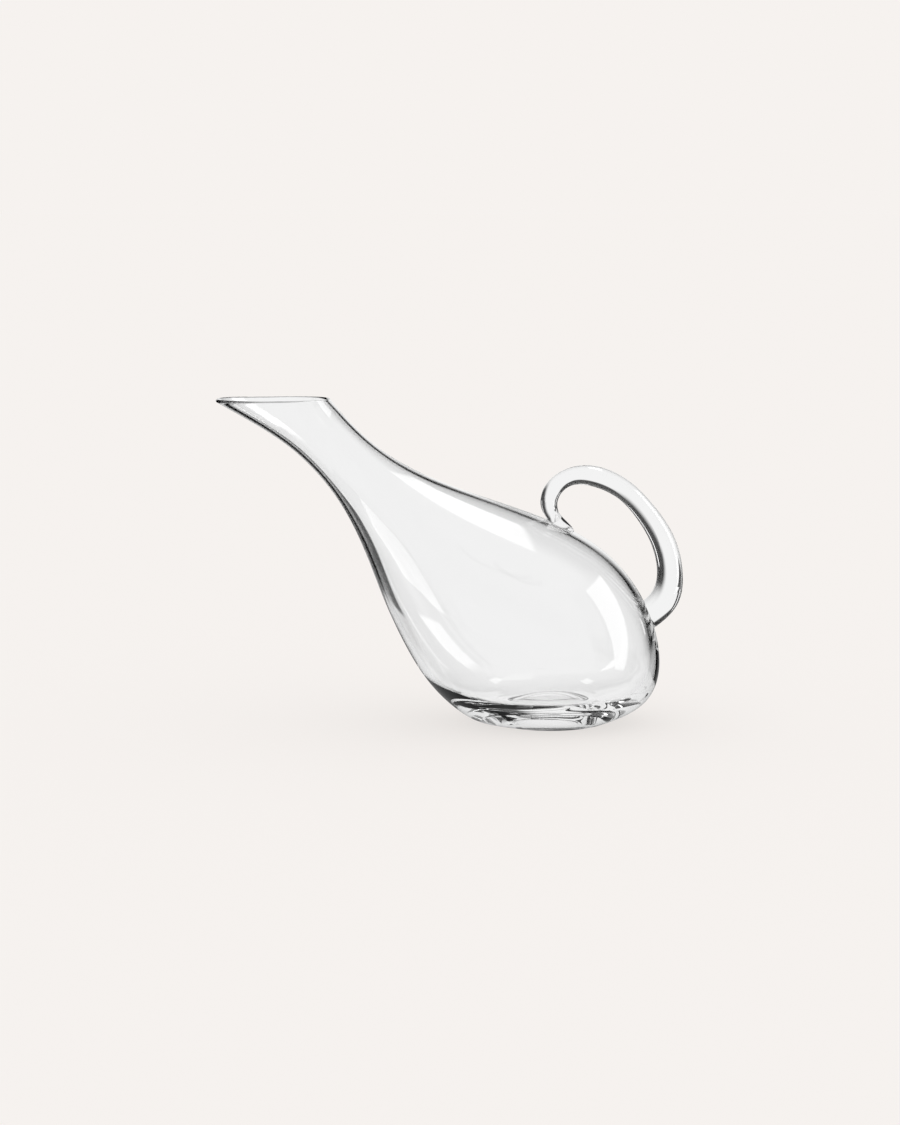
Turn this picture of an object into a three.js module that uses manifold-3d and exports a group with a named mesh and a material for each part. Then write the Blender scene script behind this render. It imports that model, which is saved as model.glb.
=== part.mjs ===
// A clear glass wine decanter that lies like a teardrop: a blown vessel with a heavy base, a neck that
// sweeps up to an oblique pouring mouth, and a solid glass handle looped over its back.
// Millimetres, +Z up. The lip points along -X and the handle along +X, and the vessel is the same on
// both sides of the plane y = 0.
import * as THREE from 'three';
import { mergeVertices } from 'three/addons/utils/BufferGeometryUtils.js';
import Module from 'manifold-3d';

// Outer sizes of the vessel, ring by ring from the mouth to the foot. A width lies in the plane of
// symmetry, a depth goes across it, and a diameter is both.
const MOUTH_WIDTH = 70;
const MOUTH_DEPTH = 46;
const THROAT_WIDTH = 44.3;
const THROAT_DEPTH = 40;
const NECK_DIAMETER = 36.6;
const COLLAR_DIAMETER = 41;
const SHOULDER_DIAMETER = 60;
const BREAST_DIAMETER = 90;
const BELLY_WIDTH = 119.5;
const BELLY_DEPTH = 118;
const WAIST_WIDTH = 134.5;
const WAIST_DEPTH = 132;
const FLANK_WIDTH = 132.5;
const FLANK_DEPTH = 131.5;
const HEEL_WIDTH = 121;
const HEEL_DEPTH = 119;
const TOE_WIDTH = 102;
const TOE_DEPTH = 97;
const FOOT_DIAMETER = 68;

// Wall of the vessel at the lip and neck, over the shoulder, round the bulb, at the heel and down to the
// foot.
const LIP_WALL = 2;
const SHOULDER_WALL = 2.6;
const BULB_WALL = 3.6;
const HEEL_WALL = 5;
const FOOT_WALL = 6.5;

// The heavy base: the level that the floor inside starts from, the height over which the wall curves into
// that floor, the radius of the floor's hollow, the swell in its middle and how far out that swell reaches.
const FLOOR_LEVEL = 8;
const FLOOR_ROUND = 10;
const FLOOR_HOLLOW_RADIUS = 200;
const FLOOR_SWELL = 6;
const FLOOR_SWELL_REACH = 34;

// The underside: the flat ring that the decanter stands on and the dome inside that ring, with the power
// of the radius that its height falls by.
const REST_RING_WIDTH = 9;
const PUNT_DEPTH = 5;
const PUNT_POWER = 3;

// The wall is kept as three shells, bowl, shoulder and neck, which meet face to face at these levels.
const BOWL_JOINT_LEVEL = 95;
const NECK_JOINT_LEVEL = 150;

// The handle's rod: its diameter at the low seal, at the elbow, up the back, over the top and down to the
// foot, the size of that foot on the wall, and the gap to the wall at both seals.
const ROOT_DIAMETER = 18;
const ELBOW_DIAMETER = 16.2;
const BACK_DIAMETER = 14.8;
const CREST_DIAMETER = 12.8;
const CURL_DIAMETER = 11;
const ANKLE_DIAMETER = 10.4;
const HANDLE_FOOT_WIDTH = 17.2;
const HANDLE_FOOT_DEPTH = 13.5;
const SEAL_GAP = 0.3;

// Places of the seals along the back of the vessel, counted in rings from the mouth.
const LOW_SEAL_AT = 8.3;
const HIGH_SEAL_AT = 6.27;

// Squareness of a ring's outline: 2 is a true oval, and more fills its corners out.
const OVAL = 2;
const MOUTH_SQUARENESS = 2.5;

// Middles of the rings, across and up from the middle of the foot, which is the last ring's own middle.
const MOUTH_X = -171.5;
const MOUTH_Z = 201;
const THROAT_X = -151.8;
const THROAT_Z = 187.6;
const NECK_X = -135.9;
const NECK_Z = 173.5;
const COLLAR_X = -117.3;
const COLLAR_Z = 154;
const SHOULDER_X = -95.5;
const SHOULDER_Z = 131.1;
const BREAST_X = -71.4;
const BREAST_Z = 107.3;
const BELLY_X = -44.4;
const BELLY_Z = 82.9;
const WAIST_X = -18.3;
const WAIST_Z = 62.7;
const FLANK_X = 1.5;
const FLANK_Z = 42.2;
const HEEL_X = 11.2;
const HEEL_Z = 22.3;
const TOE_X = 10.3;
const TOE_Z = 7.6;

// The vessel's rings: middle across and up from the middle of the foot, and tilt of the ring's plane in
// degrees. The skin is drawn through them.
const VESSEL_RINGS = [
  {
    x: MOUTH_X, z: MOUTH_Z, tilt: 1.5, width: MOUTH_WIDTH, depth: MOUTH_DEPTH, wall: LIP_WALL,
    square: MOUTH_SQUARENESS,
  },
  { x: THROAT_X, z: THROAT_Z, tilt: 20, width: THROAT_WIDTH, depth: THROAT_DEPTH, wall: LIP_WALL },
  { x: NECK_X, z: NECK_Z, tilt: 39.5, width: NECK_DIAMETER, depth: NECK_DIAMETER, wall: LIP_WALL },
  { x: COLLAR_X, z: COLLAR_Z, tilt: 48.5, width: COLLAR_DIAMETER, depth: COLLAR_DIAMETER, wall: LIP_WALL },
  {
    x: SHOULDER_X, z: SHOULDER_Z, tilt: 48.5, width: SHOULDER_DIAMETER, depth: SHOULDER_DIAMETER,
    wall: SHOULDER_WALL,
  },
  {
    x: BREAST_X, z: BREAST_Z, tilt: 47.5, width: BREAST_DIAMETER, depth: BREAST_DIAMETER,
    wall: SHOULDER_WALL,
  },
  { x: BELLY_X, z: BELLY_Z, tilt: 48.5, width: BELLY_WIDTH, depth: BELLY_DEPTH, wall: BULB_WALL },
  { x: WAIST_X, z: WAIST_Z, tilt: 43.5, width: WAIST_WIDTH, depth: WAIST_DEPTH, wall: BULB_WALL },
  { x: FLANK_X, z: FLANK_Z, tilt: 33.5, width: FLANK_WIDTH, depth: FLANK_DEPTH, wall: BULB_WALL },
  { x: HEEL_X, z: HEEL_Z, tilt: 20, width: HEEL_WIDTH, depth: HEEL_DEPTH, wall: HEEL_WALL },
  { x: TOE_X, z: TOE_Z, tilt: 8, width: TOE_WIDTH, depth: TOE_DEPTH, wall: FOOT_WALL },
  { x: 0, z: 0, tilt: 0, width: FOOT_DIAMETER, depth: FOOT_DIAMETER, wall: FOOT_WALL },
];

// Middles of the handle's rings: steps up and out from the low seal as far as the rise, and from the
// high seal after it.
const SUNK_ROOT_UP = 1.5;
const SUNK_ROOT_OUT = -7.2;
const ROOT_UP = -0.5;
const ROOT_OUT = 1.6;
const KNEE_UP = 0.4;
const KNEE_OUT = 14.9;
const ELBOW_UP = 10;
const ELBOW_OUT = 28;
const BACK_UP = 29.5;
const BACK_OUT = 39.3;
const RISE_UP = 54.9;
const RISE_OUT = 43.9;
const CREST_BACK_UP = -7.9;
const CREST_BACK_OUT = 42.4;
const CREST_UP = 5.1;
const CREST_OUT = 36.9;
const CURL_BACK_UP = 15.1;
const CURL_BACK_OUT = 27.1;
const CURL_UP = 17.8;
const CURL_OUT = 14.3;
const ANKLE_TOP_UP = 13;
const ANKLE_TOP_OUT = 4.8;
const ANKLE_UP = 5.6;
const ANKLE_OUT = 1.6;
const HANDLE_FOOT_UP = -0.8;
const HANDLE_FOOT_OUT = 0.6;
const SUNK_FOOT_UP = -4;
const SUNK_FOOT_OUT = -4;

// The handle's rings. The line from the low seal to the high seal gives "up", "out" stands square to it,
// and a tilt turns from up towards out, along the ring from its inner edge to its outer edge. The first
// and the last ring lie behind the wall's face, where the rod is cut off.
const HANDLE_RINGS_FROM_LOW_SEAL = [
  { up: SUNK_ROOT_UP, out: SUNK_ROOT_OUT, tilt: 204, width: ROOT_DIAMETER, depth: ROOT_DIAMETER },
  { up: ROOT_UP, out: ROOT_OUT, tilt: 199, width: ROOT_DIAMETER, depth: ROOT_DIAMETER },
  { up: KNEE_UP, out: KNEE_OUT, tilt: 172, width: ROOT_DIAMETER, depth: ROOT_DIAMETER },
  { up: ELBOW_UP, out: ELBOW_OUT, tilt: 145, width: ELBOW_DIAMETER, depth: ELBOW_DIAMETER },
  { up: BACK_UP, out: BACK_OUT, tilt: 119, width: BACK_DIAMETER, depth: BACK_DIAMETER },
  { up: RISE_UP, out: RISE_OUT, tilt: 91, width: CREST_DIAMETER, depth: CREST_DIAMETER },
];
const HANDLE_RINGS_FROM_HIGH_SEAL = [
  { up: CREST_BACK_UP, out: CREST_BACK_OUT, tilt: 74, width: CREST_DIAMETER, depth: CREST_DIAMETER },
  { up: CREST_UP, out: CREST_OUT, tilt: 54, width: CREST_DIAMETER, depth: CREST_DIAMETER },
  { up: CURL_BACK_UP, out: CURL_BACK_OUT, tilt: 26, width: CURL_DIAMETER, depth: CURL_DIAMETER },
  { up: CURL_UP, out: CURL_OUT, tilt: -14, width: CURL_DIAMETER, depth: CURL_DIAMETER },
  { up: ANKLE_TOP_UP, out: ANKLE_TOP_OUT, tilt: -41, width: ANKLE_DIAMETER, depth: ANKLE_DIAMETER },
  { up: ANKLE_UP, out: ANKLE_OUT, tilt: -42, width: ANKLE_DIAMETER, depth: ANKLE_DIAMETER },
  {
    up: HANDLE_FOOT_UP, out: HANDLE_FOOT_OUT, tilt: -27, width: HANDLE_FOOT_WIDTH, depth: HANDLE_FOOT_DEPTH,
  },
  {
    up: SUNK_FOOT_UP, out: SUNK_FOOT_OUT, tilt: -22, width: HANDLE_FOOT_WIDTH, depth: HANDLE_FOOT_DEPTH,
  },
];

// Fineness of the facets.
const VESSEL_SIDES = 44;
const HANDLE_SIDES = 18;
const STEPS_PER_RING = 3;
const PUNT_STEPS = 4;
const FLOOR_STEPS = 4;

// Least sine of the angle between the skin and a ring's plane that the wall's inset is worked out with.
const SHALLOWEST_SKIN = 0.5;

// Step along the rings for slopes.
const SLOPE_STEP = 0.001;

// Natural cubic spline through values numbered 0, 1, 2 and so on: its curvature has no breaks, and it is
// straight at both ends.
function spline(values) {
  const last = values.length - 1;
  const bend = new Array(last + 1).fill(0);
  const share = new Array(last + 1).fill(0);
  for (let i = 1; i < last; i += 1) {
    const pivot = 4 - share[i - 1];
    share[i] = 1 / pivot;
    bend[i] = (6 * (values[i - 1] - 2 * values[i] + values[i + 1]) - bend[i - 1]) / pivot;
  }
  for (let i = last - 1; i > 0; i -= 1) {
    bend[i] -= share[i] * bend[i + 1];
  }
  return (at) => {
    const i = Math.min(Math.floor(at), last - 1);
    const b = at - i;
    const a = 1 - b;
    const chord = a * values[i] + b * values[i + 1];
    return chord + ((a ** 3 - a) * bend[i] + (b ** 3 - b) * bend[i + 1]) / 6;
  };
}

// One end of a ring's width: side is -1 for the low or inner edge and 1 for the high or outer edge.
function ringEnd(ring, side) {
  const tilt = THREE.MathUtils.degToRad(ring.tilt);
  const half = (side * ring.width) / 2;
  return new THREE.Vector3(ring.x + half * Math.cos(tilt), 0, ring.z + half * Math.sin(tilt));
}

// Curves through a stack of rings, each a function of the ring's number.
function ringStack(rings) {
  const edge = (side) => {
    const ends = rings.map((ring) => ringEnd(ring, side));
    const x = spline(ends.map((end) => end.x));
    const z = spline(ends.map((end) => end.z));
    return (at) => new THREE.Vector3(x(at), 0, z(at));
  };
  return {
    last: rings.length - 1,
    low: edge(-1),
    high: edge(1),
    depth: spline(rings.map((ring) => ring.depth)),
    square: spline(rings.map((ring) => ring.square ?? OVAL)),
  };
}

// How fast a function of the ring's number changes there.
function slopeOf(curve, at, last) {
  const before = Math.max(at - SLOPE_STEP, 0);
  const after = Math.min(at + SLOPE_STEP, last);
  return curve(after).sub(curve(before)).divideScalar(after - before);
}

// Inset in a ring's plane for a wall that is measured square to the skin.
function insetInPlane(wall, sine) {
  return wall / Math.max(Math.abs(sine), SHALLOWEST_SKIN);
}

// The points of one ring of a stack, drawn in from the outer skin by a wall.
function ringPoints(stack, at, sides, wall = 0) {
  const low = stack.low(at);
  const high = stack.high(at);
  const width = high.distanceTo(low);
  const across = high.clone().sub(low).divideScalar(width);
  const sineTo = (run) => run.clone().normalize().cross(across).length();
  const lowInset = insetInPlane(wall, sineTo(slopeOf(stack.low, at, stack.last)));
  const highInset = insetInPlane(wall, sineTo(slopeOf(stack.high, at, stack.last)));

  // At the sides of the ring the skin leans by how fast the depth changes as the ring moves on.
  const middleAt = (t) => stack.low(t).add(stack.high(t)).divideScalar(2);
  const halfDepthAt = (t) => new THREE.Vector3(0, stack.depth(t) / 2, 0);
  const advance = slopeOf(middleAt, at, stack.last).cross(across).length();
  const swell = slopeOf(halfDepthAt, at, stack.last).y;
  const sideInset = insetInPlane(wall, advance / Math.hypot(advance, swell));

  const middle = middleAt(at).addScaledVector(across, (lowInset - highInset) / 2);
  const axis = across.multiplyScalar((width - lowInset - highInset) / 2);
  return ovalPoints(sides, middle, axis, stack.depth(at) / 2 - sideInset, stack.square(at));
}

// Points round an oval: one half axis is a vector in the plane of symmetry, the other goes along Y.
function ovalPoints(sides, middle, axis, halfDepth, square = OVAL) {
  const filled = (value) => Math.sign(value) * Math.abs(value) ** (OVAL / square);
  const points = [];
  for (let i = 0; i < sides; i += 1) {
    const turn = (2 * Math.PI * i) / sides;
    const point = middle.clone().addScaledVector(axis, filled(Math.cos(turn)));
    point.y += halfDepth * filled(Math.sin(turn));
    points.push(point);
  }
  return points;
}

// Closed surface over rings that all have the same number of points, with a fan over each end.
function skin(rings) {
  const sides = rings[0].length;
  const positions = rings.flat().flatMap((point) => point.toArray());
  const faces = [];
  for (let i = 0; i < rings.length - 1; i += 1) {
    for (let j = 0; j < sides; j += 1) {
      const a = i * sides + j;
      const b = i * sides + ((j + 1) % sides);
      faces.push(a, b, a + sides, b, b + sides, a + sides);
    }
  }
  const middleOf = (ring) => ring.reduce((sum, point) => sum.add(point), new THREE.Vector3());
  const firstMiddle = middleOf(rings[0]).divideScalar(sides);
  const lastMiddle = middleOf(rings[rings.length - 1]).divideScalar(sides);
  const first = positions.length / 3;
  const lastStart = (rings.length - 1) * sides;
  positions.push(...firstMiddle.toArray(), ...lastMiddle.toArray());
  for (let j = 0; j < sides; j += 1) {
    const next = (j + 1) % sides;
    faces.push(first, next, j);
    faces.push(first + 1, lastStart + j, lastStart + next);
  }
  const geometry = new THREE.BufferGeometry();
  geometry.setAttribute('position', new THREE.Float32BufferAttribute(positions, 3));
  geometry.setIndex(faces);
  return geometry;
}

const wasm = await Module();
wasm.setup();

function toSolid(geometry) {
  const bare = geometry.clone();
  bare.deleteAttribute('normal');
  bare.deleteAttribute('uv');
  const merged = mergeVertices(bare);
  return new wasm.Manifold(new wasm.Mesh({
    numProp: 3,
    vertProperties: new Float32Array(merged.attributes.position.array),
    triVerts: new Uint32Array(merged.index.array),
  }));
}

function toGeometry(solid) {
  const mesh = solid.getMesh();
  const geometry = new THREE.BufferGeometry();
  geometry.setAttribute('position', new THREE.BufferAttribute(mesh.vertProperties, 3));
  geometry.setIndex(new THREE.BufferAttribute(mesh.triVerts, 1));
  geometry.computeVertexNormals();
  return geometry;
}

const vesselStack = ringStack(VESSEL_RINGS);
const wallAt = spline(VESSEL_RINGS.map((ring) => ring.wall));

// Rings of the vessel from the foot up to the mouth, drawn in by a wall.
function ringsUpwards(wallOf) {
  const rings = [];
  for (let step = vesselStack.last * STEPS_PER_RING; step >= 0; step -= 1) {
    const at = step / STEPS_PER_RING;
    rings.push(ringPoints(vesselStack, at, VESSEL_SIDES, wallOf(at)));
  }
  return rings;
}

// Height of the floor inside at a distance from its middle: a shallow hollow with a swell in its middle.
function floorHeight(radius) {
  const share = Math.min(radius / FLOOR_SWELL_REACH, 1);
  const swell = FLOOR_SWELL * (1 - share ** 2) ** 2;
  return FLOOR_LEVEL + swell + radius ** 2 / (2 * FLOOR_HOLLOW_RADIUS);
}

// The inside of the vessel near the table is filled up to the floor, with a curve into the wall.
function raisedToFloor(point) {
  const floor = floorHeight(Math.hypot(point.x, point.y));
  const over = point.z - floor;
  if (over >= FLOOR_ROUND) {
    return point;
  }
  const curve = Math.max(over + FLOOR_ROUND, 0) ** 2 / (4 * FLOOR_ROUND);
  return point.clone().setZ(floor + curve);
}

// Rings of the floor from the edge where the wall ends in towards the middle.
function floorRings(edge) {
  const rings = [];
  for (let step = FLOOR_STEPS - 1; step > 0; step -= 1) {
    const share = step / FLOOR_STEPS;
    rings.push(edge.map((point) => {
      const x = point.x * share;
      const y = point.y * share;
      return new THREE.Vector3(x, y, floorHeight(Math.hypot(x, y)));
    }));
  }
  return rings;
}

// Rings of the underside from the middle of the dome out to the inner edge of the ring it stands on.
function puntRings() {
  const rings = [];
  const radius = FOOT_DIAMETER / 2 - REST_RING_WIDTH;
  for (let step = 1; step <= PUNT_STEPS; step += 1) {
    const share = step / PUNT_STEPS;
    const middle = new THREE.Vector3(0, 0, PUNT_DEPTH * (1 - share ** PUNT_POWER));
    const axis = new THREE.Vector3(radius * share, 0, 0);
    rings.push(ovalPoints(VESSEL_SIDES, middle, axis, radius * share));
  }
  return rings;
}

// The whole glass wall: up the outside from the dome under the base, over the lip, down the inside and in
// over the floor.
function vesselSolid() {
  const outside = ringsUpwards(() => 0);
  const inside = ringsUpwards(wallAt).reverse().map((ring) => ring.map(raisedToFloor));
  const floor = floorRings(inside[inside.length - 1]);
  return toSolid(skin([...puntRings(), ...outside, ...inside, ...floor]));
}

// A block that holds everything of the vessel below a level.
function blockBelow(level, bounds) {
  const size = bounds.getSize(new THREE.Vector3()).multiplyScalar(2);
  const middle = bounds.getCenter(new THREE.Vector3());
  const block = new THREE.BoxGeometry(size.x, size.y, size.z);
  return toSolid(block.translate(middle.x, middle.y, level - size.z / 2));
}

// The handle's rings, placed from the two seals on the vessel's back.
function handleStack() {
  const lowSeal = vesselStack.high(LOW_SEAL_AT);
  const highSeal = vesselStack.high(HIGH_SEAL_AT);
  const up = highSeal.clone().sub(lowSeal).normalize();
  const out = new THREE.Vector3(up.z, 0, -up.x);
  const upTurn = THREE.MathUtils.radToDeg(Math.atan2(up.z, up.x));
  const placed = (seal) => (ring) => {
    const middle = seal.clone().addScaledVector(up, ring.up).addScaledVector(out, ring.out);
    return { ...ring, x: middle.x, z: middle.z, tilt: upTurn - ring.tilt };
  };
  return ringStack([
    ...HANDLE_RINGS_FROM_LOW_SEAL.map(placed(lowSeal)),
    ...HANDLE_RINGS_FROM_HIGH_SEAL.map(placed(highSeal)),
  ]);
}

// The handle's rod, cut to the vessel's skin at both seals.
function handleSolid() {
  const stack = handleStack();
  const rings = [];
  for (let step = 0; step <= stack.last * STEPS_PER_RING; step += 1) {
    rings.push(ringPoints(stack, step / STEPS_PER_RING, HANDLE_SIDES));
  }
  const keptClear = toSolid(skin(ringsUpwards(() => -SEAL_GAP)));
  return toSolid(skin(rings)).subtract(keptClear);
}

const clearGlass = new THREE.MeshStandardMaterial({
  color: '#eef0f0',
  roughness: 0.02,
  metalness: 0,
  transparent: true,
  opacity: 0.35,
});

function glassPiece(name, solid) {
  const mesh = new THREE.Mesh(toGeometry(solid), clearGlass.clone());
  mesh.name = name;
  return mesh;
}

const vessel = vesselSolid();
const vesselGeometry = toGeometry(vessel);
vesselGeometry.computeBoundingBox();
const belowBowlJoint = blockBelow(BOWL_JOINT_LEVEL, vesselGeometry.boundingBox);
const belowNeckJoint = blockBelow(NECK_JOINT_LEVEL, vesselGeometry.boundingBox);

const decanter = new THREE.Group();
decanter.add(glassPiece('bowl', vessel.intersect(belowBowlJoint)));
decanter.add(glassPiece('shoulder', vessel.intersect(belowNeckJoint).subtract(belowBowlJoint)));
decanter.add(glassPiece('neck', vessel.subtract(belowNeckJoint)));
decanter.add(glassPiece('handle', handleSolid()));

// The origin is on the table, under the middle of the decanter's length.
decanter.position.x = -new THREE.Box3().setFromObject(decanter).getCenter(new THREE.Vector3()).x;

export default decanter;
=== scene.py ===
import math

import bpy
import numpy as np
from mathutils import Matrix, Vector


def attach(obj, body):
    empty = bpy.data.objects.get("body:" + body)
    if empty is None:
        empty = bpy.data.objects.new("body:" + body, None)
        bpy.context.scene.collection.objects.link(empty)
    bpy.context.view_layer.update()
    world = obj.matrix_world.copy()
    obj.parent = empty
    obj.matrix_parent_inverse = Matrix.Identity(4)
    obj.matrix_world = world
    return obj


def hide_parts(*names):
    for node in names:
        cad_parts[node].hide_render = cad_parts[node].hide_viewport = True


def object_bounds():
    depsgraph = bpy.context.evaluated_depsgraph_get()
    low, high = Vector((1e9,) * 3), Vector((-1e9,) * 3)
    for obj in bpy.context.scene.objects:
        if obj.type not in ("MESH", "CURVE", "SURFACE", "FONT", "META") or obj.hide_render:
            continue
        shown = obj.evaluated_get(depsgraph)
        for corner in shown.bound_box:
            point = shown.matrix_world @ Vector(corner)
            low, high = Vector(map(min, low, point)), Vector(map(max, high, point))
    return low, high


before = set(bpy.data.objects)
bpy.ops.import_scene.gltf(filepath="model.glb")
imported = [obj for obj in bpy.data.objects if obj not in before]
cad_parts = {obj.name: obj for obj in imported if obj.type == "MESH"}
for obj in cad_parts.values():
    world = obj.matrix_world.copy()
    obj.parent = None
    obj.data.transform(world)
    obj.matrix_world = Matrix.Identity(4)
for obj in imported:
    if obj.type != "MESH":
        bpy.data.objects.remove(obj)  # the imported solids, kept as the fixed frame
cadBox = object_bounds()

# A clear glass decanter: one blown vessel and one solid glass handle, on a pale sweep of paper.
# Lengths are in millimetres until a mesh is made, and places are measured from the middle of the foot.
mm = 0.001
scene = bpy.context.scene

camera = {
    "aim": (0.0, 0.0, 99.8),  # mm, the point in the middle of the picture
    "distance": 1750.0,       # mm
    "pitch": 7.5,             # degrees down
    "lens": 90.3,             # mm
    "sensor": 36.0,           # mm, the picture's long side
}


def makeCamera(settings):
    data = bpy.data.cameras.new("camera")
    data.lens = settings["lens"]
    data.sensor_width = settings["sensor"]
    pitch = math.radians(settings["pitch"])
    back = Vector((0.0, -math.cos(pitch), math.sin(pitch)))
    aim = Vector(settings["aim"]) * mm
    piece = bpy.data.objects.new("camera", data)
    piece.location = aim + back * settings["distance"] * mm
    piece.rotation_euler = (-back).to_track_quat("-Z", "Y").to_euler()
    scene.collection.objects.link(piece)
    scene.camera = piece
    print("camera at", [round(v, 4) for v in piece.location])


# Natural cubic spline through values numbered 0, 1, 2 and so on: the bends solve one row of a
# tridiagonal system each, and the value is the chord plus a cubic share of the two nearest bends.
def splineThrough(values):
    values = np.asarray(values, float)
    count = len(values)
    inner = np.arange(1, count - 1)
    system = np.eye(count)
    system[inner, inner - 1] = 1.0
    system[inner, inner] = 4.0
    system[inner, inner + 1] = 1.0
    right = np.zeros(count)
    right[1:-1] = 6.0 * (values[:-2] - 2.0 * values[1:-1] + values[2:])
    bend = np.linalg.solve(system, right)

    def valueAt(t):
        i = np.clip(np.floor(t).astype(int), 0, count - 2)
        b = t - i
        a = 1.0 - b
        chord = a * values[i] + b * values[i + 1]
        return chord + ((a**3 - a) * bend[i] + (b**3 - b) * bend[i + 1]) / 6.0

    return valueAt


# A stack of oval rings. Each row holds the middle x and z, the tilt of the ring's plane in degrees,
# the width in the plane y = 0, the depth along Y and the squareness, where 2 is a true oval.
def ringStack(rows):
    x, z, tilt, width, depth, square = np.array(rows, float).T
    reach = np.radians(tilt)
    stepX = width / 2 * np.cos(reach)
    stepZ = width / 2 * np.sin(reach)
    return {
        "last": len(rows) - 1,
        "lowX": splineThrough(x - stepX),
        "lowZ": splineThrough(z - stepZ),
        "highX": splineThrough(x + stepX),
        "highZ": splineThrough(z + stepZ),
        "depth": splineThrough(depth),
        "square": splineThrough(square),
    }


# Point of the skin on ring t at a turn: the ring's middle, plus its half width times the cosine,
# plus its half depth times the sine, with both raised to 2 / squareness.
def skinPoint(stack, t, turn):
    t, turn = np.broadcast_arrays(np.asarray(t, float), np.asarray(turn, float))
    power = 2.0 / stack["square"](t)
    c = np.sign(np.cos(turn)) * np.abs(np.cos(turn)) ** power
    s = np.sign(np.sin(turn)) * np.abs(np.sin(turn)) ** power
    lowX, highX = stack["lowX"](t), stack["highX"](t)
    lowZ, highZ = stack["lowZ"](t), stack["highZ"](t)
    x = (lowX + highX) / 2 + (highX - lowX) / 2 * c
    z = (lowZ + highZ) / 2 + (highZ - lowZ) / 2 * c
    return np.stack([x, stack["depth"](t) / 2 * s, z], -1)


def unit(vectors):
    return vectors / np.linalg.norm(vectors, axis=-1, keepdims=True)


# Slopes of the skin by small steps each way, along the rings and round a ring.
def skinSlopes(stack, t, turn, step=1e-3):
    along = skinPoint(stack, t + step, turn) - skinPoint(stack, t - step, turn)
    around = skinPoint(stack, t, turn + step) - skinPoint(stack, t, turn - step)
    return along / (2 * step), around / (2 * step)


# Outward normal of the skin: square to both slopes. Ring numbers count down the vessel.
def skinNormal(stack, t, turn):
    along, around = skinSlopes(stack, t, turn)
    return unit(np.cross(along, around))


# The larger of two heights with the corner between them rounded over a height of 2 * radius.
def roundedMax(a, b, radius):
    over = np.clip(a - b, -radius, radius)
    return np.maximum(a, b) + (radius - np.abs(over)) ** 2 / (4 * radius)


# Closed mesh from rows of points that all go round once, with a single point closing each end.
def meshOverRows(name, rows, firstPole, lastPole, shift, sharpRows=()):
    rows = np.asarray(rows, float)
    count, around = rows.shape[:2]
    points = np.concatenate([rows.reshape(-1, 3), [firstPole, lastPole]])
    points = (points + shift) * mm
    i = np.arange(count - 1)[:, None] * around
    j = np.arange(around)[None, :]
    k = (j + 1) % around
    quads = np.stack([i + j, i + k, i + around + k, i + around + j], -1).reshape(-1, 4)
    ring = np.arange(around)
    following = (ring + 1) % around
    first = np.full(around, count * around)
    start = (count - 1) * around
    headFan = np.stack([first, following, ring], -1)
    tailFan = np.stack([first + 1, start + ring, start + following], -1)
    mesh = bpy.data.meshes.new(name)
    mesh.from_pydata(points.tolist(), [], quads.tolist() + headFan.tolist() + tailFan.tolist())
    mesh.polygons.foreach_set("use_smooth", np.ones(len(mesh.polygons), bool))
    if len(sharpRows):
        ends = np.zeros(len(mesh.edges) * 2, int)
        mesh.edges.foreach_get("vertices", ends)
        row = ends.reshape(-1, 2) // around
        sharp = (row[:, 0] == row[:, 1]) & np.isin(row[:, 0], sharpRows)
        mark = mesh.attributes.new("sharp_edge", "BOOLEAN", "EDGE")
        mark.data.foreach_set("value", sharp)
    mesh.update()
    mesh.validate()
    piece = bpy.data.objects.new(name, mesh)
    scene.collection.objects.link(piece)
    return piece


vessel = {
    "rings": [  # x, z, tilt, width, depth, squareness, from the mouth down to the foot
        (-171.5, 201.0, 1.5, 70.0, 46.0, 2.5),
        (-151.8, 187.6, 20.0, 44.3, 40.0, 2.0),
        (-135.9, 173.5, 39.5, 36.6, 36.6, 2.0),
        (-117.3, 154.0, 48.5, 41.0, 41.0, 2.0),
        (-95.5, 131.1, 48.5, 60.0, 60.0, 2.0),
        (-71.4, 107.3, 47.5, 90.0, 90.0, 2.0),
        (-44.4, 82.9, 48.5, 119.5, 118.0, 2.0),
        (-18.3, 62.7, 43.5, 134.5, 132.0, 2.0),
        (1.5, 42.2, 33.5, 132.5, 131.5, 2.0),
        (11.2, 22.3, 20.0, 121.0, 119.0, 2.0),
        (10.3, 7.6, 8.0, 102.0, 97.0, 2.0),
        (0.0, 0.0, 0.0, 68.0, 68.0, 2.0),
    ],
    "walls": [2.0, 2.0, 2.0, 2.0, 2.6, 2.6, 3.6, 3.6, 3.6, 5.0, 6.5, 6.5],  # mm, ring by ring
    "floorLevel": 8.0,           # mm, level that the floor inside starts from
    "floorRound": 10.0,          # mm, height over which the wall curves into that floor
    "floorHollowRadius": 200.0,  # mm, radius of the floor's hollow
    "floorSwell": 6.0,           # mm, swell in the floor's middle
    "floorSwellReach": 34.0,     # mm, how far out that swell reaches
    "restRingWidth": 9.0,        # mm, flat ring that it stands on
    "puntDepth": 5.0,            # mm, dome inside that ring
    "puntPower": 3.0,            # power of the radius that the dome falls by
    "footEdgeRound": 1.0,        # mm
    "around": 200,               # points round a row
    "rowsUpWall": 172,
    "rowsOverRim": 14,
    "rowsUnderneath": 60,
    "rowsOnFloor": 30,
}


# Height of the floor inside at a distance from its middle: the level, plus the radius squared over twice
# the hollow's radius, plus a swell that falls as (1 - share squared) squared to nothing at its reach.
def floorHeight(settings, radius):
    share = np.clip(radius / settings["floorSwellReach"], 0, 1)
    swell = settings["floorSwell"] * (1 - share**2) ** 2
    return settings["floorLevel"] + swell + radius**2 / (2 * settings["floorHollowRadius"])


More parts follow.
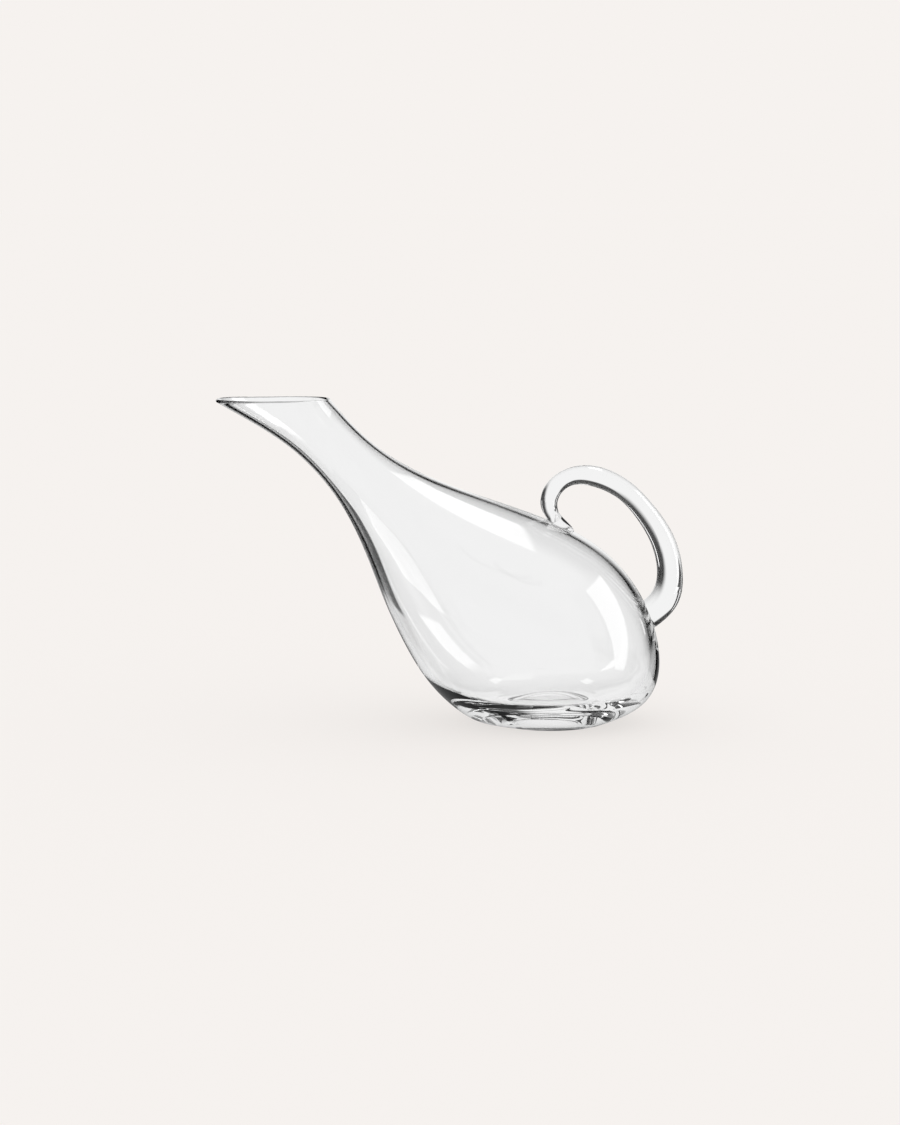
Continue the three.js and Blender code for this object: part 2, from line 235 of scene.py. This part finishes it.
# Height of the underside at a distance from its middle: a dome that falls by a power of the radius, the
# flat ring, and the turn up into the wall, joined by rounded corners.
def undersideHeight(settings, radius):
    edge = settings["rings"][-1][3] / 2
    share = radius / (edge - settings["restRingWidth"])
    dome = settings["puntDepth"] * (1 - share ** settings["puntPower"])
    height = roundedMax(dome, np.zeros_like(radius), settings["footEdgeRound"] / 2)
    return roundedMax(height, radius - edge, settings["footEdgeRound"])


def makeVessel(settings, stack, shift):
    wallAt = splineThrough(settings["walls"])
    turn = np.arange(settings["around"]) * 2 * np.pi / settings["around"]

    # The rim is a half round of the wall's own thickness, so both faces start half a wall below the mouth.
    lipWall = settings["walls"][0]
    along, _ = skinSlopes(stack, np.zeros_like(turn), turn)
    rimAt = lipWall / 2 / np.linalg.norm(along, axis=-1)
    share = np.linspace(0, 1, settings["rowsUpWall"])[:, None]
    t = rimAt + (stack["last"] - rimAt) * share
    outside = skinPoint(stack, t, turn)
    normal = skinNormal(stack, t, turn)
    inside = outside - normal * wallAt(t)[..., None]

    # The outside turns into the flat foot, and the inside is filled up to the floor.
    outside[..., 2] = roundedMax(outside[..., 2], 0.0, settings["footEdgeRound"])
    floorUnder = floorHeight(settings, np.hypot(inside[..., 0], inside[..., 1]))
    inside[..., 2] = roundedMax(inside[..., 2], floorUnder, settings["floorRound"])

    bend = np.linspace(0, np.pi, settings["rowsOverRim"] + 2)[1:-1, None, None]
    middle = (outside[0] + inside[0]) / 2
    spread = (outside[0] - inside[0]) / 2
    lead = -unit(skinSlopes(stack, rimAt, turn)[0])
    rise = lead * np.linalg.norm(spread, axis=-1, keepdims=True)
    rim = middle + spread * np.cos(bend) + rise * np.sin(bend)

    edge = settings["rings"][-1][3] / 2
    radius = np.linspace(0, edge, settings["rowsUnderneath"] + 2)[1:-1, None]
    height = undersideHeight(settings, radius) * np.ones_like(turn)
    underneath = np.stack([radius * np.cos(turn), radius * np.sin(turn), height], -1)

    inwards = np.linspace(1, 0, settings["rowsOnFloor"] + 2)[1:-1, None]
    floorX = inside[-1, :, 0] * inwards
    floorY = inside[-1, :, 1] * inwards
    floor = np.stack([floorX, floorY, floorHeight(settings, np.hypot(floorX, floorY))], -1)

    rows = np.concatenate([underneath, outside[::-1], rim, inside, floor])
    domeTop = [0.0, 0.0, float(undersideHeight(settings, np.zeros(1))[0])]
    floorMiddle = [0.0, 0.0, float(floorHeight(settings, np.zeros(1))[0])]
    piece = meshOverRows("vessel", rows, domeTop, floorMiddle, shift)
    print("vessel:", len(piece.data.polygons), "faces")
    return piece


handle = {
    "lowSealAt": 8.3,    # places on the vessel's back, in rings from the mouth
    "highSealAt": 6.27,
    # up (from the low seal to the high one), out (square to that), tilt from up towards out, width, depth
    "fromLowSeal": [
        (1.5, -7.2, 204.0, 18.0, 18.0),
        (-0.5, 1.6, 199.0, 18.0, 18.0),
        (0.4, 14.9, 172.0, 18.0, 18.0),
        (10.0, 28.0, 145.0, 16.2, 16.2),
        (29.5, 39.3, 119.0, 14.8, 14.8),
        (54.9, 43.9, 91.0, 12.8, 12.8),
    ],
    "fromHighSeal": [
        (-7.9, 42.4, 74.0, 12.8, 12.8),
        (5.1, 36.9, 54.0, 12.8, 12.8),
        (15.1, 27.1, 26.0, 11.0, 11.0),
        (17.8, 14.3, -14.0, 11.0, 11.0),
        (13.0, 4.8, -41.0, 10.4, 10.4),
        (5.6, 1.6, -42.0, 10.4, 10.4),
        (-0.8, 0.6, -27.0, 17.2, 13.5),
        (-4.0, -4.0, -22.0, 17.2, 13.5),
    ],
    "sealGap": 0.06,     # mm, hair gap that keeps the two pieces of glass apart
    "sealReach": 1.2,    # rings of the vessel each way, in which a seal is looked for
    "lowEndRings": 2.2,  # rings of the rod, in which it comes out of the wall at each end
    "highEndRings": 3.0,
    "around": 72,        # points round a row
    "rowsAlong": 230,
    "rowsOnSeal": 8,
    "searchRows": 160,
}


# Rings of the handle from the two seals: each row's up and out steps start at its own seal.
def handleStack(settings, vesselStack):
    def sealOn(at):
        return np.array([vesselStack["highX"](np.array(at)), vesselStack["highZ"](np.array(at))])

    lowSeal, highSeal = sealOn(settings["lowSealAt"]), sealOn(settings["highSealAt"])
    up = unit(highSeal - lowSeal)
    out = np.array([up[1], -up[0]])
    upTurn = math.degrees(math.atan2(up[1], up[0]))
    rows = []
    for seal, part in ((lowSeal, "fromLowSeal"), (highSeal, "fromHighSeal")):
        for upStep, outStep, tilt, width, depth in settings[part]:
            x, z = seal + up * upStep + out * outStep
            rows.append((x, z, upTurn - tilt, width, depth, 2.0))
    return ringStack(rows)


# Where points lie against the vessel: the ring whose plane holds each one (where the cross product of
# the ring's width and the way to the point changes sign), its turn, and its share of the ring's radius.
def placeOnVessel(stack, points, first, last, samples=500):
    t = np.linspace(first, last, samples)
    lowX, lowZ, highX, highZ = (stack[k](t) for k in ("lowX", "lowZ", "highX", "highZ"))
    x, y, z = (points[..., k, None] for k in range(3))
    side = (highX - lowX) * (z - lowZ) - (highZ - lowZ) * (x - lowX)
    change = (side[..., :-1] * side[..., 1:] <= 0).argmax(-1)[..., None]
    before = np.take_along_axis(side, change, -1)
    after = np.take_along_axis(side, change + 1, -1)
    ring = (t[change] + (t[1] - t[0]) * before / (before - after))[..., 0]
    lowX, lowZ, highX, highZ = (stack[k](ring) for k in ("lowX", "lowZ", "highX", "highZ"))
    half = np.hypot(highX - lowX, highZ - lowZ) / 2
    alongX, alongZ = (highX - lowX) / 2 / half, (highZ - lowZ) / 2 / half
    inPlane = (x[..., 0] - (lowX + highX) / 2) * alongX + (z[..., 0] - (lowZ + highZ) / 2) * alongZ
    u = inPlane / half
    v = y[..., 0] / (stack["depth"](ring) / 2)
    return ring, np.arctan2(v, u), np.hypot(u, v)


# Ring number along the rod, for each turn, where its side comes out of the vessel's skin.
def leavesSkin(rod, vesselStack, turn, start, end, near, samples):
    t = np.linspace(start, end, samples)[:, None] * np.ones_like(turn)
    _, _, share = placeOnVessel(vesselStack, skinPoint(rod, t, turn), *near)
    hidden = share < 1.0
    i = samples - 1 - hidden[::-1].argmax(0)
    column = np.arange(len(turn))
    before, after = share[i, column] - 1.0, share[i + 1, column] - 1.0
    return t[i, column] + (t[1, 0] - t[0, 0]) * before / (before - after)


def makeHandle(settings, vesselStack, shift):
    rod = handleStack(settings, vesselStack)
    turn = np.arange(settings["around"]) * 2 * np.pi / settings["around"]
    search, reach = settings["searchRows"], settings["sealReach"]
    nearLow = (settings["lowSealAt"] - reach, settings["lowSealAt"] + reach)
    nearHigh = (settings["highSealAt"] - reach, settings["highSealAt"] + reach)
    lowEnd = leavesSkin(rod, vesselStack, turn, 0.0, settings["lowEndRings"], nearLow, search)
    highStop = rod["last"] - settings["highEndRings"]
    highEnd = leavesSkin(rod, vesselStack, turn, rod["last"], highStop, nearHigh, search)

    # A seal follows the vessel's skin, a hair above it: rows from its outline in to its middle.
    def sealRows(end, near):
        ring, place, _ = placeOnVessel(vesselStack, skinPoint(rod, end, turn), *near)
        share = np.linspace(1, 0, settings["rowsOnSeal"] + 1)[:, None]
        ring = ring.mean() + (ring - ring.mean()) * share
        place = place * share
        points = skinPoint(vesselStack, ring, place)
        return points + skinNormal(vesselStack, ring, place) * settings["sealGap"]

    lowSeal = sealRows(lowEnd, nearLow)
    highSeal = sealRows(highEnd, nearHigh)
    share = np.linspace(0, 1, settings["rowsAlong"])[1:-1, None]
    side = skinPoint(rod, lowEnd + (highEnd - lowEnd) * share, turn)
    rows = np.concatenate([lowSeal[-2::-1], side, highSeal[:-1]])
    edges = (settings["rowsOnSeal"] - 1, settings["rowsOnSeal"] + len(side))
    piece = meshOverRows("handle_rod", rows, lowSeal[-1, 0], highSeal[-1, 0], shift, edges)
    print("handle:", len(piece.data.polygons), "faces")
    return piece


# Colours are written as sRGB hex values and used as linear ones.
def linear(hexColour):
    parts = np.array([int(hexColour[i:i + 2], 16) for i in (1, 3, 5)]) / 255
    parts = np.where(parts <= 0.04045, parts / 12.92, ((parts + 0.055) / 1.055) ** 2.4)
    return (*parts.tolist(), 1.0)


# Adds a node, sets its properties and inputs, and links inputs that are given as another node's output.
def addNode(tree, kind, inputs=None, **properties):
    node = tree.nodes.new(kind)
    for name, value in properties.items():
        setattr(node, name, value)
    for name, value in (inputs or {}).items():
        if isinstance(value, bpy.types.NodeSocket):
            tree.links.new(value, node.inputs[name])
        else:
            node.inputs[name].default_value = value
    return node


def newMaterial(name):
    material = bpy.data.materials.new(name)
    material.use_nodes = True
    material.node_tree.nodes.clear()
    return material, material.node_tree


glass = {
    "tint": "#fdfdfd",        # nearly nothing is lost in the glass itself
    "ior": 1.52,
    "wave": 38.0,             # mm from one slow swell of the blown wall to the next
    "waveHeight": 0.02,       # mm
    "shadow": "#f4f5f5",      # what light keeps on its way through to the paper
}


# Blown soda-lime glass, fire-polished: no texture of its own, only clear refraction, sharp reflections and
# the slow swell that hand blowing leaves, which bends the edges of what is seen in it.
def clearGlass(name, settings):
    material, tree = newMaterial(name)
    place = addNode(tree, "ShaderNodeTexCoord").outputs["Object"]
    swell = addNode(
        tree, "ShaderNodeTexNoise",
        {"Vector": place, "Scale": 1 / (settings["wave"] * mm), "Detail": 1.0, "Roughness": 0.4},
    ).outputs["Fac"]
    bump = addNode(
        tree, "ShaderNodeBump",
        {"Height": swell, "Strength": 1.0, "Distance": settings["waveHeight"] * mm},
    ).outputs["Normal"]
    body = addNode(
        tree, "ShaderNodeBsdfPrincipled",
        {
            "Base Color": linear(settings["tint"]),
            "Roughness": 0.0,
            "IOR": settings["ior"],
            "Transmission Weight": 1.0,
            "Normal": bump,
        },
    ).outputs["BSDF"]
    clear = addNode(tree, "ShaderNodeBsdfTransparent", {"Color": linear(settings["shadow"])}).outputs["BSDF"]
    shadowRay = addNode(tree, "ShaderNodeLightPath").outputs["Is Shadow Ray"]
    mix = addNode(tree, "ShaderNodeMixShader", {0: shadowRay, 1: body, 2: clear}).outputs["Shader"]
    addNode(tree, "ShaderNodeOutputMaterial", {"Surface": mix})
    return material


studio = {
    "paper": "#f6f2ef",       # the pale sweep that the decanter stands on
    "paperReach": 40.0,       # m
    "paperDrop": 0.0002,      # m, so that the foot's flat ring does not share its plane
    "paperGlow": 0.8,         # share of the paper's look that does not take the shadow
    "cloth": "#f5f5f5",       # the neutral white cloth of the panels
    "roomFront": 0.9,         # level of the room on the camera's side
    "roomBack": 0.0,          # level of the room behind, outside the lit backdrop
    "roomFade": (-0.05, 0.35),  # Y of a direction, from where the room grows dark to where it is darkest
    # Panels that only the glass sees: four corners in metres, the shares of the two sides over which the
    # light fades out at each end, and the level in reflections and through the glass, or None where it is
    # not seen that way. A level of 0 is a black flag. Panels on the table lie a hair apart.
    "panels": {
        "backdrop": {  # the bright ground behind the bulb and the neck
            "corners": ((-0.9, 1.6, -0.02), (0.9, 1.6, -0.02), (0.9, 1.6, 0.7), (-0.9, 1.6, 0.7)),
            "soft": ((0.05, 0.3), (0.01, 0.25)), "mirrored": 1.0, "through": 1.0,
        },
        "table_top": {  # the bright table behind the foot
            "corners": (
                (-0.05, -0.1, -0.0002), (0.15, -0.1, -0.0002),
                (0.92, 1.8, -0.0002), (-0.82, 1.8, -0.0002),
            ),
            "soft": ((0.12, 0.22), (0.05, 0.05)), "mirrored": 0.3, "through": 1.0,
        },
        "table_near": {  # the table round the foot, for looks from above
            "corners": (
                (-0.45, -0.35, -0.0003), (0.4, -0.35, -0.0003),
                (0.35, 0.3, -0.0003), (-0.42, 0.2, -0.0003),
            ),
            "soft": ((0.25, 0.25), (0.2, 0.2)), "mirrored": None, "through": 0.9,
        },
        "table_flag": {  # draws the dark streak down the left side
            "corners": (
                (-0.046, 0.25, -0.0001), (-0.15, 0.25, -0.0001),
                (-0.32, 0.62, -0.0001), (-0.13, 0.62, -0.0001),
            ),
            "soft": ((0.1, 0.1), (0.1, 0.1)), "mirrored": None, "through": 0.0,
        },
        "table_left": {
            "corners": (
                (-0.5, -0.25, -0.0001), (-0.03, -0.25, -0.0001),
                (-0.03, 0.03, -0.0001), (-0.5, 0.03, -0.0001),
            ),
            "soft": ((0.1, 0.05), (0.1, 0.08)), "mirrored": 0.9, "through": None,
        },
        "table_glare": {  # the patch low on the left
            "corners": (
                (-0.215, -0.145, 0.0), (-0.02, -0.095, 0.0),
                (-0.02, -0.075, 0.0), (-0.215, -0.04, 0.0),
            ),
            "soft": ((0.15, 0.15), (0.15, 0.15)), "mirrored": 4.5, "through": None,
        },
        "left_softbox": {  # the long band on the left
            "corners": ((-0.9, -0.68, -0.15), (-0.9, -0.2, -0.15), (-0.9, -0.2, 0.31), (-0.9, -0.68, 0.31)),
            "soft": ((0.1, 0.1), (0.1, 0.1)), "mirrored": 4.0, "through": 0.3,
        },
        "left_wall": {
            "corners": ((-1.0, -1.2, -0.4), (-1.0, -0.05, -0.4), (-1.0, -0.05, 0.45), (-1.0, -1.2, 0.45)),
            "soft": ((0.2, 0.2), (0.2, 0.2)), "mirrored": 0.7, "through": None,
        },
        "right_softbox": {  # the curved band on the right
            "corners": ((0.9, -0.38, -0.16), (0.9, -0.2, -0.16), (0.9, 0.42, 0.82), (0.9, -0.3, 0.88)),
            "soft": ((0.1, 0.1), (0.05, 0.05)), "mirrored": 4.0, "through": 0.3,
        },
        "right_wall": {
            "corners": ((1.0, -1.0, -0.4), (1.0, 0.55, -0.4), (1.0, 0.55, 1.2), (1.0, -1.0, 1.2)),
            "soft": ((0.2, 0.2), (0.2, 0.2)), "mirrored": 0.7, "through": None,
        },
        "top_softbox": {  # the band along the top of the shoulder
            "corners": ((0.15, -0.12, 1.2), (0.5, -0.12, 1.2), (0.5, 0.7, 1.2), (0.15, 0.7, 1.2)),
            "soft": ((0.1, 0.15), (0.1, 0.1)), "mirrored": 4.0, "through": 1.5,
        },
        "right_hook": {  # the hook at the foot of the right band
            "corners": ((0.9, -0.24, 0.04), (0.9, -0.4, -0.02), (0.9, -0.73, -0.26), (0.9, -0.38, -0.12)),
            "soft": ((0.15, 0.15), (0.15, 0.15)), "mirrored": 4.0, "through": None,
        },
        "right_strip": {  # the strips put a white line into the dark edges
            "corners": (
                (1.117, 1.002, -0.05), (1.181, 0.924, -0.05),
                (1.181, 0.924, 0.9), (1.117, 1.002, 0.9),
            ),
            "soft": ((0.15, 0.15), (0.05, 0.2)), "mirrored": None, "through": 2.0,
        },
        "left_strip": {
            "corners": (
                (-1.004, 1.115, -0.05), (-0.924, 1.182, -0.05),
                (-0.924, 1.182, 0.9), (-1.004, 1.115, 0.9),
            ),
            "soft": ((0.15, 0.15), (0.05, 0.2)), "mirrored": None, "through": 2.0,
        },
        "glint_left": {  # two small glints above the floor
            "corners": (
                (-0.007, -0.078, 0.0), (-0.004, -0.094, 0.0),
                (0.007, -0.093, 0.0), (0.004, -0.077, 0.0),
            ),
            "soft": ((0.2, 0.2), (0.2, 0.2)), "mirrored": 4.0, "through": None,
        },
        "glint_right": {
            "corners": (
                (0.112, -0.122, 0.0), (0.142, -0.134, 0.0),
                (0.146, -0.11, 0.0), (0.117, -0.101, 0.0),
            ),
            "soft": ((0.2, 0.2), (0.2, 0.2)), "mirrored": 4.0, "through": None,
        },
    },
}


# A sheet between four corners: each point is the corners' average, weighted by its place along two sides.
def makeSheet(name, corners, steps=16):
    share = np.linspace(0, 1, steps + 1)
    u, v = (grid[..., None] for grid in np.meshgrid(share, share))
    a, b, c, d = np.array(corners, float)
    points = (1 - v) * ((1 - u) * a + u * b) + v * ((1 - u) * d + u * c)
    i = np.arange(steps)[:, None] * (steps + 1) + np.arange(steps)
    quads = np.stack([i, i + 1, i + steps + 2, i + steps + 1], -1).reshape(-1, 4)
    mesh = bpy.data.meshes.new(name)
    mesh.from_pydata(points.reshape(-1, 3).tolist(), [], quads.tolist())
    places = np.concatenate([u, v], -1).reshape(-1, 2)[quads.ravel()]
    mesh.uv_layers.new(name="sides").data.foreach_set("uv", places.ravel())
    piece = bpy.data.objects.new(name, mesh)
    scene.collection.objects.link(piece)
    return piece


# Lit cloth: one level in reflections and one through the glass, thinning out to nothing at the panel's edges.
def litCloth(name, colour, settings):
    material, tree = newMaterial(name)
    refracted = addNode(tree, "ShaderNodeLightPath").outputs["Is Transmission Ray"]
    level = addNode(
        tree, "ShaderNodeMapRange",
        {"Value": refracted, "To Min": settings["mirrored"] or 0.0, "To Max": settings["through"] or 0.0},
    ).outputs["Result"]
    place = addNode(tree, "ShaderNodeTexCoord").outputs["UV"]
    sides = addNode(tree, "ShaderNodeSeparateXYZ", {"Vector": place}).outputs
    cover = 1.0
    for side, (low, high) in zip((sides["X"], sides["Y"]), settings["soft"]):
        for edge, inner in ((0.0, low), (1.0, 1.0 - high)):
            fade = addNode(
                tree, "ShaderNodeMapRange", {"Value": side, "From Min": edge, "From Max": inner},
                interpolation_type="SMOOTHSTEP",
            ).outputs["Result"]
            product = addNode(tree, "ShaderNodeMath", {0: cover, 1: fade}, operation="MULTIPLY")
            cover = product.outputs["Value"]
    light = addNode(tree, "ShaderNodeEmission", {"Color": linear(colour), "Strength": level})
    clear = addNode(tree, "ShaderNodeBsdfTransparent").outputs["BSDF"]
    looks = {0: cover, 1: clear, 2: light.outputs["Emission"]}
    mix = addNode(tree, "ShaderNodeMixShader", looks).outputs["Shader"]
    addNode(tree, "ShaderNodeOutputMaterial", {"Surface": mix})
    return material


# Matt paper: no gloss at all, an even pale look and a faint share of the soft shading under the glass.
def mattPaper(name, colour, glow):
    material, tree = newMaterial(name)
    matt = addNode(tree, "ShaderNodeBsdfDiffuse", {"Color": linear(colour)}).outputs["BSDF"]
    even = addNode(tree, "ShaderNodeEmission", {"Color": linear(colour), "Strength": 1.0}).outputs["Emission"]
    mix = addNode(tree, "ShaderNodeMixShader", {0: glow, 1: matt, 2: even}).outputs["Shader"]
    addNode(tree, "ShaderNodeOutputMaterial", {"Surface": mix})
    return material


def makeStudio(settings):
    reach, drop = settings["paperReach"], settings["paperDrop"]
    corners = ((-reach, -reach, -drop), (reach, -reach, -drop), (reach, reach, -drop), (-reach, reach, -drop))
    paper = makeSheet("paper_sweep", corners)
    paper.data.materials.append(mattPaper("matt_paper", settings["paper"], settings["paperGlow"]))
    paper.visible_glossy = False
    paper.visible_transmission = False

    for name, look in settings["panels"].items():
        panel = makeSheet(name, look["corners"])
        panel.data.materials.append(litCloth(name + "_cloth", settings["cloth"], look))
        panel.visible_camera = False
        panel.visible_diffuse = False
        panel.visible_shadow = False
        panel.visible_glossy = look["mirrored"] is not None
        panel.visible_transmission = look["through"] is not None

    # The eye sees the paper's colour all round, the paper is lit by an even white dome, and the glass sees
    # a room that is pale on the camera's side and dark behind.
    world = bpy.data.worlds.new("studio")
    scene.world = world
    world.use_nodes = True
    tree = world.node_tree
    tree.nodes.clear()
    rays = addNode(tree, "ShaderNodeLightPath").outputs
    way = addNode(tree, "ShaderNodeTexCoord").outputs["Generated"]
    away = addNode(tree, "ShaderNodeSeparateXYZ", {"Vector": way}).outputs["Y"]
    fadeStart, fadeEnd = settings["roomFade"]
    room = addNode(
        tree, "ShaderNodeMapRange",
        {
            "Value": away,
            "From Min": fadeStart,
            "From Max": fadeEnd,
            "To Min": settings["roomFront"],
            "To Max": settings["roomBack"],
        },
        interpolation_type="SMOOTHSTEP",
    ).outputs["Result"]
    even = addNode(
        tree, "ShaderNodeMath",
        {0: rays["Is Camera Ray"], 1: rays["Is Diffuse Ray"]},
        operation="MAXIMUM",
    ).outputs["Value"]
    level = addNode(tree, "ShaderNodeMapRange", {"Value": even, "To Min": room, "To Max": 1.0})
    colour = addNode(
        tree, "ShaderNodeMix",
        {"Factor": rays["Is Camera Ray"], "A": (1, 1, 1, 1), "B": linear(settings["paper"])},
        data_type="RGBA",
    )
    sky = addNode(
        tree, "ShaderNodeBackground",
        {"Color": colour.outputs["Result"], "Strength": level.outputs["Result"]},
    )
    addNode(tree, "ShaderNodeOutputWorld", {"Surface": sky.outputs["Background"]})
    print("studio:", len(settings["panels"]), "panels")


makeCamera(camera)
vesselRings = ringStack(vessel["rings"])
# The foot's middle in the frame: the lip, the furthest point of the mouth, lies on the box's low X side.
footShift = np.array([cadBox[0].x / mm - float(vesselRings["lowX"](np.array(0.0))), 0.0, 0.0])
print("foot's middle at x =", round(float(footShift[0]), 2), "mm")

vesselPiece = makeVessel(vessel, vesselRings, footShift)
vesselPiece.data.materials.append(clearGlass("blown_clear_glass", glass))
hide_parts("bowl", "shoulder", "neck")
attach(vesselPiece, "root")

handlePiece = makeHandle(handle, vesselRings, footShift)
handlePiece.data.materials.append(clearGlass("drawn_clear_glass", glass))
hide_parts("handle")
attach(handlePiece, "root")

makeStudio(studio)
scene.view_settings.view_transform = "Standard"
scene.cycles.max_bounces = 32
scene.cycles.glossy_bounces = 24
scene.cycles.transmission_bounces = 32
scene.cycles.transparent_max_bounces = 16
scene.cycles.caustics_reflective = False
scene.cycles.caustics_refractive = False
